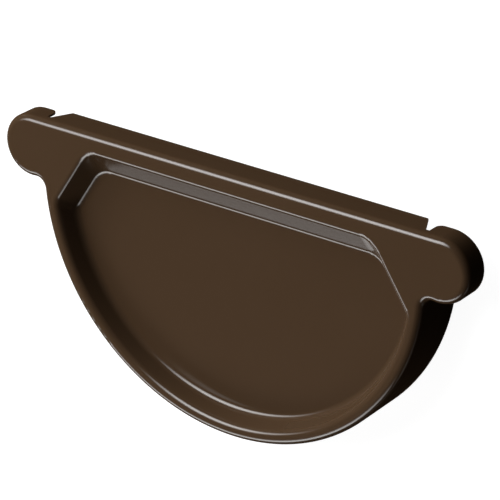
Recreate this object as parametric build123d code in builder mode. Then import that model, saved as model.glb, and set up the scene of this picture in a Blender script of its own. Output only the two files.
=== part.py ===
from build123d import *
from math import cos, hypot, radians, sin, sqrt, tan
import os

os.makedirs("parts", exist_ok=True)

# Stop end for a half-round gutter, pressed from one coated steel sheet.
# It lies face up on the rim of its skirt: X along the flat top edge, Y towards that edge, Z up.
# Heights and widths are measured from the centre of the half-round, depths from the front face.

sheet = 0.6  # steel and its coating

# Outline of the face
skirt_radius = 64.0  # outside of the half-round skirt
top_height = 15.7  # flat top edge
ear_radius = 9.33  # rounded ears over the beads of the gutter
ear_reach = 4.37  # middle of an ear outside the skirt
neck_radius = 2.9  # hollow corner between an ear and the skirt
bend_radius = 2.0  # outside of the bend from the face into the flanges

# Flanges
skirt_depth = 17.25
top_depth = 9.1
ear_depth = 7.7
skirt_relief = 0.5  # from the neck down to the end of the deep skirt
skirt_corner = 1.5  # rounded corner at that end

# Relief notches where the top flange meets the ears
notch_setback = 4.62  # middle of an ear to the side of its notch
notch_width = 1.1
notch_depth = 3.05
notch_angle = 27.0  # splay of the top flange's end
ear_corner = 2.0  # rounded corner of the ear's flange beside the notch
flange_corner = 0.5  # rounded corner of the top flange beside the notch

# Recess pressed into the face, with a flat top wall, two sloping shoulders and a half-round wall
recess_depth = 6.2
top_band = 5.7  # top edge to the top wall
rim_band = 4.2  # outside of the skirt to the half-round wall
shoulder_cut = 14.4  # how far a shoulder cuts into the half-round
shoulder_angle = 33.0  # slope of the shoulders off the upright
top_run = 7.2  # how far each wall leans in on its way to the floor
shoulder_run = 4.4
round_run = 1.65
corner_radius = 9.0  # between the top wall and a shoulder
heel_radius = 4.0  # between a shoulder and the half-round wall
edge_radius = 1.9  # face into the walls
floor_fillet = 2.0  # walls into the floor

ear_spread = skirt_radius + ear_reach
ear_height = top_height - ear_radius
centre_y = (skirt_radius - top_height) / 2
upright = Axis((0, centre_y, 0), (0, 0, 1))
clear = 1.0  # run-out of the cutting shapes past the metal


def face_outline(height, skin):
    """Outline of the face, drawn in from the outside by one skin."""
    radius = skirt_radius - skin
    with BuildSketch(Plane((0, centre_y, height))) as outline:
        Circle(radius)
        with Locations((0, ear_height)):
            Rectangle(4 * radius, 2 * radius, align=(Align.CENTER, Align.MIN), mode=Mode.SUBTRACT)
            Rectangle(2 * ear_spread, ear_radius - skin, align=(Align.CENTER, Align.MIN))
        with Locations((ear_spread, ear_height), (-ear_spread, ear_height)):
            Circle(ear_radius - skin)
        necks = [corner for corner in outline.vertices()
                 if abs(hypot(corner.X, corner.Y) - radius) < 0.01 and corner.Y > -radius / 2]
        fillet(necks, neck_radius + skin)
    return outline.sketch


def wall_plane(azimuth, reach, run):
    """Sloping wall that faces away from the half-round's centre, at its reach on the level of the face."""
    outward = Vector(cos(radians(azimuth)), sin(radians(azimuth)), 0)
    foot = Vector(0, centre_y, skirt_depth) + outward * reach
    return Plane(origin=foot, z_dir=outward - Vector(0, 0, run / recess_depth))


def recess_form(skin):
    """Solid that fills the recess, grown by one skin."""
    floor = skirt_depth - recess_depth - skin
    lean = round_run / recess_depth

    def round_reach(level):
        return skirt_radius - rim_band + lean * (level - skirt_depth) + skin * hypot(1, lean)

    above = skirt_depth + clear
    shoulder_reach = skirt_radius - rim_band - shoulder_cut
    with BuildPart() as recess:
        with BuildSketch(Plane.XZ.offset(-centre_y)):
            with BuildLine():
                Polyline((0, floor), (round_reach(floor), floor), (round_reach(above), above), (0, above), close=True)
            make_face()
        revolve(axis=upright)
        for azimuth, reach, run in ((90, top_height - top_band, top_run),
                                    (shoulder_angle, shoulder_reach, shoulder_run),
                                    (180 - shoulder_angle, shoulder_reach, shoulder_run)):
            split(bisect_by=wall_plane(azimuth, reach, run).offset(skin), keep=Keep.BOTTOM)
        sides = recess.edges().filter_by(lambda edge: abs(edge.tangent_at(0.5).Z) > 0.3)
        fillet(sides.group_by(Axis.Y)[-1], corner_radius + skin)
        sides = recess.edges().filter_by(lambda edge: abs(edge.tangent_at(0.5).Z) > 0.3)
        fillet(sides.group_by(Axis.Y)[0], heel_radius + skin)
        fillet(recess.faces().sort_by(Axis.Z)[0].edges(), floor_fillet + skin)
    return recess.part


def pressed_form(recess, skin, back):
    """Solid under the pressed face, one skin inside it, down to the level of back."""
    face = skirt_depth - skin
    with BuildPart() as form:
        add(face_outline(face, skin))
        extrude(amount=back - face)
        fillet(form.faces().sort_by(Axis.Z)[-1].edges(), bend_radius - skin)
        add(recess, mode=Mode.SUBTRACT)
        band = form.faces().filter_by(Axis.Z).sort_by(Axis.Z)[-1]
        fillet(band.inner_wires()[0].edges(), edge_radius - skin)
    return form.part


def neck_end():
    """Height at which the neck's hollow corner runs out on the skirt."""
    to_skirt = skirt_radius + neck_radius
    to_ear = ear_radius + neck_radius
    spread = hypot(ear_spread, ear_height)
    along = (to_skirt**2 - to_ear**2 + spread**2) / (2 * spread)
    aside = sqrt(to_skirt**2 - along**2)
    return (along * ear_height - aside * ear_spread) / spread * skirt_radius / to_skirt


outside = pressed_form(recess_form(0), 0, 0)
hollow = pressed_form(recess_form(sheet), sheet, -clear)

with BuildPart() as stop_end:
    add(outside)
    add(hollow, mode=Mode.SUBTRACT)

    # the top flange is shallower than the skirt, and the ears' flanges are shallower still
    skirt_top = neck_end() - skirt_relief
    notch_edge = ear_spread - notch_setback
    notch_side = notch_edge - notch_width
    with BuildSketch(Plane.XZ.offset(-centre_y - skirt_top)) as behind_flanges:
        with Locations((0, -clear)):
            Rectangle(2 * notch_side, skirt_depth - top_depth + clear, align=(Align.CENTER, Align.MIN))
        with Locations((notch_side, -clear)):
            Rectangle(ear_spread, skirt_depth - ear_depth + clear, align=(Align.MIN, Align.MIN))
        with Locations((-notch_side, -clear)):
            Rectangle(ear_spread, skirt_depth - ear_depth + clear, align=(Align.MAX, Align.MIN))
    extrude(amount=skirt_top - top_height - clear, mode=Mode.SUBTRACT)

    # a notch frees the end of the top flange from each ear
    bottom = skirt_depth - notch_depth
    open_end = skirt_depth - top_depth - clear
    splay = (bottom - open_end) * tan(radians(notch_angle))
    with BuildSketch(Plane.XZ.offset(-centre_y - ear_height)) as notches:
        with BuildLine():
            Polyline((notch_side, bottom), (notch_edge, bottom), (notch_edge, open_end),
                     (notch_side - splay, open_end), close=True)
        make_face()
        mirror(about=Plane.YZ)
    extrude(amount=-(ear_radius + clear), mode=Mode.SUBTRACT)

    # the flanges' free corners are rounded
    for depth, radius in ((ear_depth, ear_corner), (top_depth, flange_corner)):
        back = skirt_depth - depth
        corners = stop_end.edges().filter_by(Axis.Y).filter_by_position(Axis.Z, back - sheet / 2, back + sheet / 2)
        fillet(corners.filter_by(lambda edge: edge.center().Y > centre_y + ear_height), radius)
    fillet(stop_end.edges().filter_by(Axis.X).filter_by_position(Axis.Z, -sheet / 2, sheet / 2), skirt_corner)

stop_end.part.label = "stop_end"
export_step(stop_end.part, "parts/stop_end.step")
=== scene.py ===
import bpy
from mathutils import Matrix, Vector


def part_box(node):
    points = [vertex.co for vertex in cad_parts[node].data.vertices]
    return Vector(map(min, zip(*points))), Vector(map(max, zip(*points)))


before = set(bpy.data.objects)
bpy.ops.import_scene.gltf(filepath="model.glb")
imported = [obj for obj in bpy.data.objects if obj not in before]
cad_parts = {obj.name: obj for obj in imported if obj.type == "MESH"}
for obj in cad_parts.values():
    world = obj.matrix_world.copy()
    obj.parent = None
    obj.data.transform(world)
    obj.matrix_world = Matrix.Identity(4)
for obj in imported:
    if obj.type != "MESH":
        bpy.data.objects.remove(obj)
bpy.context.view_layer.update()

# Half-round gutter stop end in brown coated steel, lying face up on the rim of its skirt
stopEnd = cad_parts["stop_end"]
lowCorner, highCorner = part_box("stop_end")
partTop = highCorner.z
topEdge = highCorner.y
skirtRadius = 0.064
arcCentreY = lowCorner.y + skirtRadius  # the half-round's centre


# Small helpers for building node trees
def addNode(tree, kind, **values):
    node = tree.nodes.new(kind)
    for name, value in values.items():
        setattr(node, name, value)
    return node


def setInputs(node, **values):
    for name, value in values.items():
        node.inputs[name].default_value = value


def newMaterial(name):
    material = bpy.data.materials.new(name)
    material.use_nodes = True
    material.node_tree.nodes.clear()
    return material, material.node_tree


def combine(tree, operation, first, second):
    node = addNode(tree, "ShaderNodeMath", operation=operation)
    tree.links.new(first, node.inputs[0])
    tree.links.new(second, node.inputs[1])
    return node.outputs["Value"]


def combineVector(tree, operation, vector, fixedVector):
    node = addNode(tree, "ShaderNodeVectorMath", operation=operation)
    node.inputs[1].default_value = fixedVector
    tree.links.new(vector, node.inputs[0])
    return node


def distanceFrom(tree, place, centre, factors):
    offset = combineVector(tree, "SUBTRACT", place, centre)
    scaled = combineVector(tree, "MULTIPLY", offset.outputs["Vector"], factors)
    length = addNode(tree, "ShaderNodeVectorMath", operation="LENGTH")
    tree.links.new(scaled.outputs["Vector"], length.inputs[0])
    return length.outputs["Value"]


def softStep(tree, value, start, end, before, after):
    step = addNode(tree, "ShaderNodeMapRange", interpolation_type="SMOOTHSTEP")
    setInputs(step, **{"From Min": start, "From Max": end, "To Min": before, "To Max": after})
    tree.links.new(value, step.inputs["Value"])
    return step.outputs["Result"]


def fadeIn(tree, value, start, end):
    return softStep(tree, value, start, end, 0.0, 1.0)


def fadeOut(tree, value, start, end):
    return softStep(tree, value, start, end, 1.0, 0.0)


def addNoise(tree, place, scale, detail):
    noise = addNode(tree, "ShaderNodeTexNoise")
    setInputs(noise, Scale=scale, Detail=detail)
    tree.links.new(place, noise.inputs["Vector"])
    return noise.outputs["Fac"]


# Coated steel
coatedSteel = {
    "brown": (0.067, 0.0385, 0.0200, 1.0),
    "paleBrown": (0.073, 0.0430, 0.0235, 1.0),  # faint clouds in the coating
    "cloudScale": 45.0,
    "cloudDetail": 3.0,
    "matt": 0.6,  # roughness of the colour under the gloss
    "shineUnderGloss": 0.0,  # only the gloss mirrors
    "glossRoughness": 0.12,
    "glossIndex": 1.6,
    "glossySide": (0.395, 0.314, 0.864),  # the gloss fades on the bends that turn away from here
    "glossStart": 0.63,
    "glossEnd": 0.70,
    "steepStart": 0.46,  # and on whatever stands steeper than this
    "steepEnd": 0.58,
    "rimBand": 0.0022,  # the gloss is full further in than this from the skirt
    "topBand": 0.00215,  # and further down than this from the top edge
    "inFacePlane": (1.0, 1.0, 0.0),  # both bands are measured along the face, at any height
    "blend": 0.0002,
    "peelScale": 900.0,  # fine orange peel of the baked coating
    "peelHeight": 0.000004,
    "grainScale": 3200.0,
    "grainHeight": 0.0000015,
    "reliefDetail": 2.0,
    "reliefStrength": 1.0,
}


def mixBrown(tree, place):
    clouds = addNoise(tree, place, coatedSteel["cloudScale"], coatedSteel["cloudDetail"])
    colour = addNode(tree, "ShaderNodeMix", data_type="RGBA")
    setInputs(colour, A=coatedSteel["brown"], B=coatedSteel["paleBrown"])
    tree.links.new(clouds, colour.inputs["Factor"])
    return colour.outputs["Result"]


# The gloss fades on the outer bends where they turn down
def glossOutside(tree):
    shape = addNode(tree, "ShaderNodeNewGeometry")
    towards = combineVector(tree, "DOT_PRODUCT", shape.outputs["Normal"], coatedSteel["glossySide"])
    facing = fadeIn(tree, towards.outputs["Value"], coatedSteel["glossStart"], coatedSteel["glossEnd"])
    upward = addNode(tree, "ShaderNodeSeparateXYZ")
    tree.links.new(shape.outputs["Normal"], upward.inputs[0])
    level = fadeIn(tree, upward.outputs["Z"], coatedSteel["steepStart"], coatedSteel["steepEnd"])
    return combine(tree, "MULTIPLY", facing, level)


# It is full in the recess and on the flat face round it
def glossInside(tree, place):
    blend = coatedSteel["blend"]
    fullReach = skirtRadius - coatedSteel["rimBand"]
    reach = distanceFrom(tree, place, (0, arcCentreY, 0), coatedSteel["inFacePlane"])
    withinReach = fadeOut(tree, reach, fullReach - blend, fullReach)
    bendStart = topEdge - coatedSteel["topBand"]
    across = addNode(tree, "ShaderNodeSeparateXYZ")
    tree.links.new(place, across.inputs[0])
    belowBend = fadeOut(tree, across.outputs["Y"], bendStart - blend, bendStart)
    return combine(tree, "MULTIPLY", withinReach, belowBend)


def addRelief(tree, place, scale, height):
    bump = addNode(tree, "ShaderNodeBump")
    setInputs(bump, Strength=coatedSteel["reliefStrength"], Distance=height)
    tree.links.new(addNoise(tree, place, scale, coatedSteel["reliefDetail"]), bump.inputs["Height"])
    return bump


def makeCoatedSteel():
    material, tree = newMaterial("coatedSteel")
    output = addNode(tree, "ShaderNodeOutputMaterial")
    shader = addNode(tree, "ShaderNodeBsdfPrincipled")
    shader.inputs["Roughness"].default_value = coatedSteel["matt"]
    shader.inputs["Specular IOR Level"].default_value = coatedSteel["shineUnderGloss"]
    shader.inputs["Coat Roughness"].default_value = coatedSteel["glossRoughness"]
    shader.inputs["Coat IOR"].default_value = coatedSteel["glossIndex"]
    place = addNode(tree, "ShaderNodeTexCoord").outputs["Object"]
    tree.links.new(mixBrown(tree, place), shader.inputs["Base Color"])
    gloss = combine(tree, "MAXIMUM", glossInside(tree, place), glossOutside(tree))
    tree.links.new(gloss, shader.inputs["Coat Weight"])

    # grain on top of the orange peel
    peel = addRelief(tree, place, coatedSteel["peelScale"], coatedSteel["peelHeight"])
    grain = addRelief(tree, place, coatedSteel["grainScale"], coatedSteel["grainHeight"])
    tree.links.new(peel.outputs["Normal"], grain.inputs["Normal"])
    tree.links.new(grain.outputs["Normal"], shader.inputs["Normal"])
    tree.links.new(grain.outputs["Normal"], shader.inputs["Coat Normal"])
    tree.links.new(shader.outputs["BSDF"], output.inputs["Surface"])
    return material


stopEnd.data.materials.clear()
stopEnd.data.materials.append(makeCoatedSteel())
print("stop end finished")


# Floor and world
studio = {
    "floorSize": 3.0,
    "floorColour": (0.3, 0.3, 0.3, 1.0),  # takes the part's shadow
    "floorGlow": 0.93,  # and this lifts it to white
    "floorBounce": (0.05, 0.05, 0.05, 1.0),  # the colour it throws back on the part
    "worldColour": (0.01, 0.01, 0.01, 1.0),
}


def makeFloor():
    bpy.ops.mesh.primitive_plane_add(size=studio["floorSize"], location=(0, 0, 0))
    floor = bpy.context.object
    floor.name = "studioFloor"
    material, tree = newMaterial("studioFloor")
    output = addNode(tree, "ShaderNodeOutputMaterial")

    # white where it is seen, directly or in a reflection
    paper = addNode(tree, "ShaderNodeBsdfDiffuse")
    setInputs(paper, Color=studio["floorColour"])
    white = addNode(tree, "ShaderNodeEmission")
    setInputs(white, Strength=studio["floorGlow"])
    glowing = addNode(tree, "ShaderNodeAddShader")
    tree.links.new(paper.outputs["BSDF"], glowing.inputs[0])
    tree.links.new(white.outputs["Emission"], glowing.inputs[1])
    seen = addNode(tree, "ShaderNodeLightPath")
    cameraOrGloss = combine(tree, "MAXIMUM", seen.outputs["Is Camera Ray"], seen.outputs["Is Glossy Ray"])
    anySight = combine(tree, "MAXIMUM", cameraOrGloss, seen.outputs["Is Transmission Ray"])

    # dark for all other light
    bounce = addNode(tree, "ShaderNodeBsdfDiffuse")
    setInputs(bounce, Color=studio["floorBounce"])
    mix = addNode(tree, "ShaderNodeMixShader")
    tree.links.new(anySight, mix.inputs["Fac"])
    tree.links.new(bounce.outputs["BSDF"], mix.inputs[1])
    tree.links.new(glowing.outputs["Shader"], mix.inputs[2])
    tree.links.new(mix.outputs["Shader"], output.inputs["Surface"])
    floor.data.materials.append(material)


def makeWorld():
    world = bpy.data.worlds.new("studioWorld")
    world.use_nodes = True
    setInputs(world.node_tree.nodes["Background"], Color=studio["worldColour"])
    bpy.context.scene.world = world


# Lamps, each aimed at the top of the part and brightest round one point of its own surface
lampDistance = 1.5
lampEdge = 0.5  # half of a lamp's width or height, which count as 1
lamps = {
    "keyLamp": {
        "shape": "ELLIPSE",
        "from": (-0.46, 0.432, 0.77),  # direction from the part
        "width": 2.2,
        "height": 1.15,
        "power": 50,
        "brightest": (0.5, 0.5, 0.0),  # in shares of the width and height
        "squeeze": (1.0, 1.0, 0.0),  # a factor below 1 draws the glow out that way
        "core": 0.15,  # this share of the glow's reach is at full strength
        "mirrored": True,
    },
    "lowLamp": {
        "shape": "RECTANGLE",
        "from": (-0.272, -0.837, 0.474),
        "width": 1.87,
        "height": 0.75,
        "power": 21.5,
        "brightest": (0.35, 0.5, 0.0),
        "squeeze": (0.6, 1.0, 0.0),
        "core": 0.2,
        "mirrored": True,
    },
    "sideLamp": {
        "shape": "ELLIPSE",
        "from": (-0.78, 0.54, 0.30),
        "width": 1.6,
        "height": 1.0,
        "power": 31,
        "brightest": (0.5, 0.5, 0.0),
        "squeeze": (1.0, 1.0, 0.0),
        "core": 0.5,
        "mirrored": False,  # it lights the coating but leaves no highlight
    },
}


def makeLamp(name, settings):
    light = bpy.data.lights.new(name, "AREA")
    light.shape = settings["shape"]
    light.size = settings["width"]
    light.size_y = settings["height"]
    light.energy = settings["power"]
    light.use_nodes = True
    tree = light.node_tree
    place = addNode(tree, "ShaderNodeNewGeometry").outputs["Parametric"]
    reach = distanceFrom(tree, place, settings["brightest"], settings["squeeze"])
    glow = fadeOut(tree, reach, lampEdge * settings["core"], lampEdge)
    tree.links.new(glow, tree.nodes["Emission"].inputs["Strength"])
    lamp = bpy.data.objects.new(name, light)
    bpy.context.collection.objects.link(lamp)
    lamp.visible_glossy = settings["mirrored"]
    aim = Vector(settings["from"]).normalized()
    lamp.location = Vector((0, 0, partTop)) + aim * lampDistance
    lamp.rotation_euler = aim.to_track_quat("Z", "Y").to_euler()


makeFloor()
for lampName, lampSettings in lamps.items():
    makeLamp(lampName, lampSettings)
makeWorld()
print("floor, lamps and world placed")


# Camera, where the photograph was taken from
photoView = {
    "right": (0.8036, 0.0002, -0.5952),
    "up": (-0.2547, 0.9040, -0.3435),
    "back": (0.5380, 0.4276, 0.7264),
    "sideways": 0.007243,  # from the half-round's centre on the front face
    "downwards": 0.005993,
    "distance": 0.7331,
    "lens": 196.04,
    "sensor": 36.0,
    "nearest": 0.01,
}


def makeCamera():
    data = bpy.data.cameras.new("photoCamera")
    data.lens = photoView["lens"]
    data.sensor_width = photoView["sensor"]
    data.sensor_fit = "HORIZONTAL"
    data.clip_start = photoView["nearest"]
    camera = bpy.data.objects.new("photoCamera", data)
    bpy.context.collection.objects.link(camera)
    right, up, back = (Vector(photoView[name]) for name in ("right", "up", "back"))
    arcCentre = Vector((0, arcCentreY, partTop))
    place = (arcCentre + right * photoView["sideways"]
             - up * photoView["downwards"] + back * photoView["distance"])
    turn = Matrix((right, up, back)).transposed()
    camera.matrix_world = Matrix.Translation(place) @ turn.to_4x4()
    bpy.context.scene.camera = camera


makeCamera()
bpy.context.scene.view_settings.view_transform = "Standard"
print("camera placed")
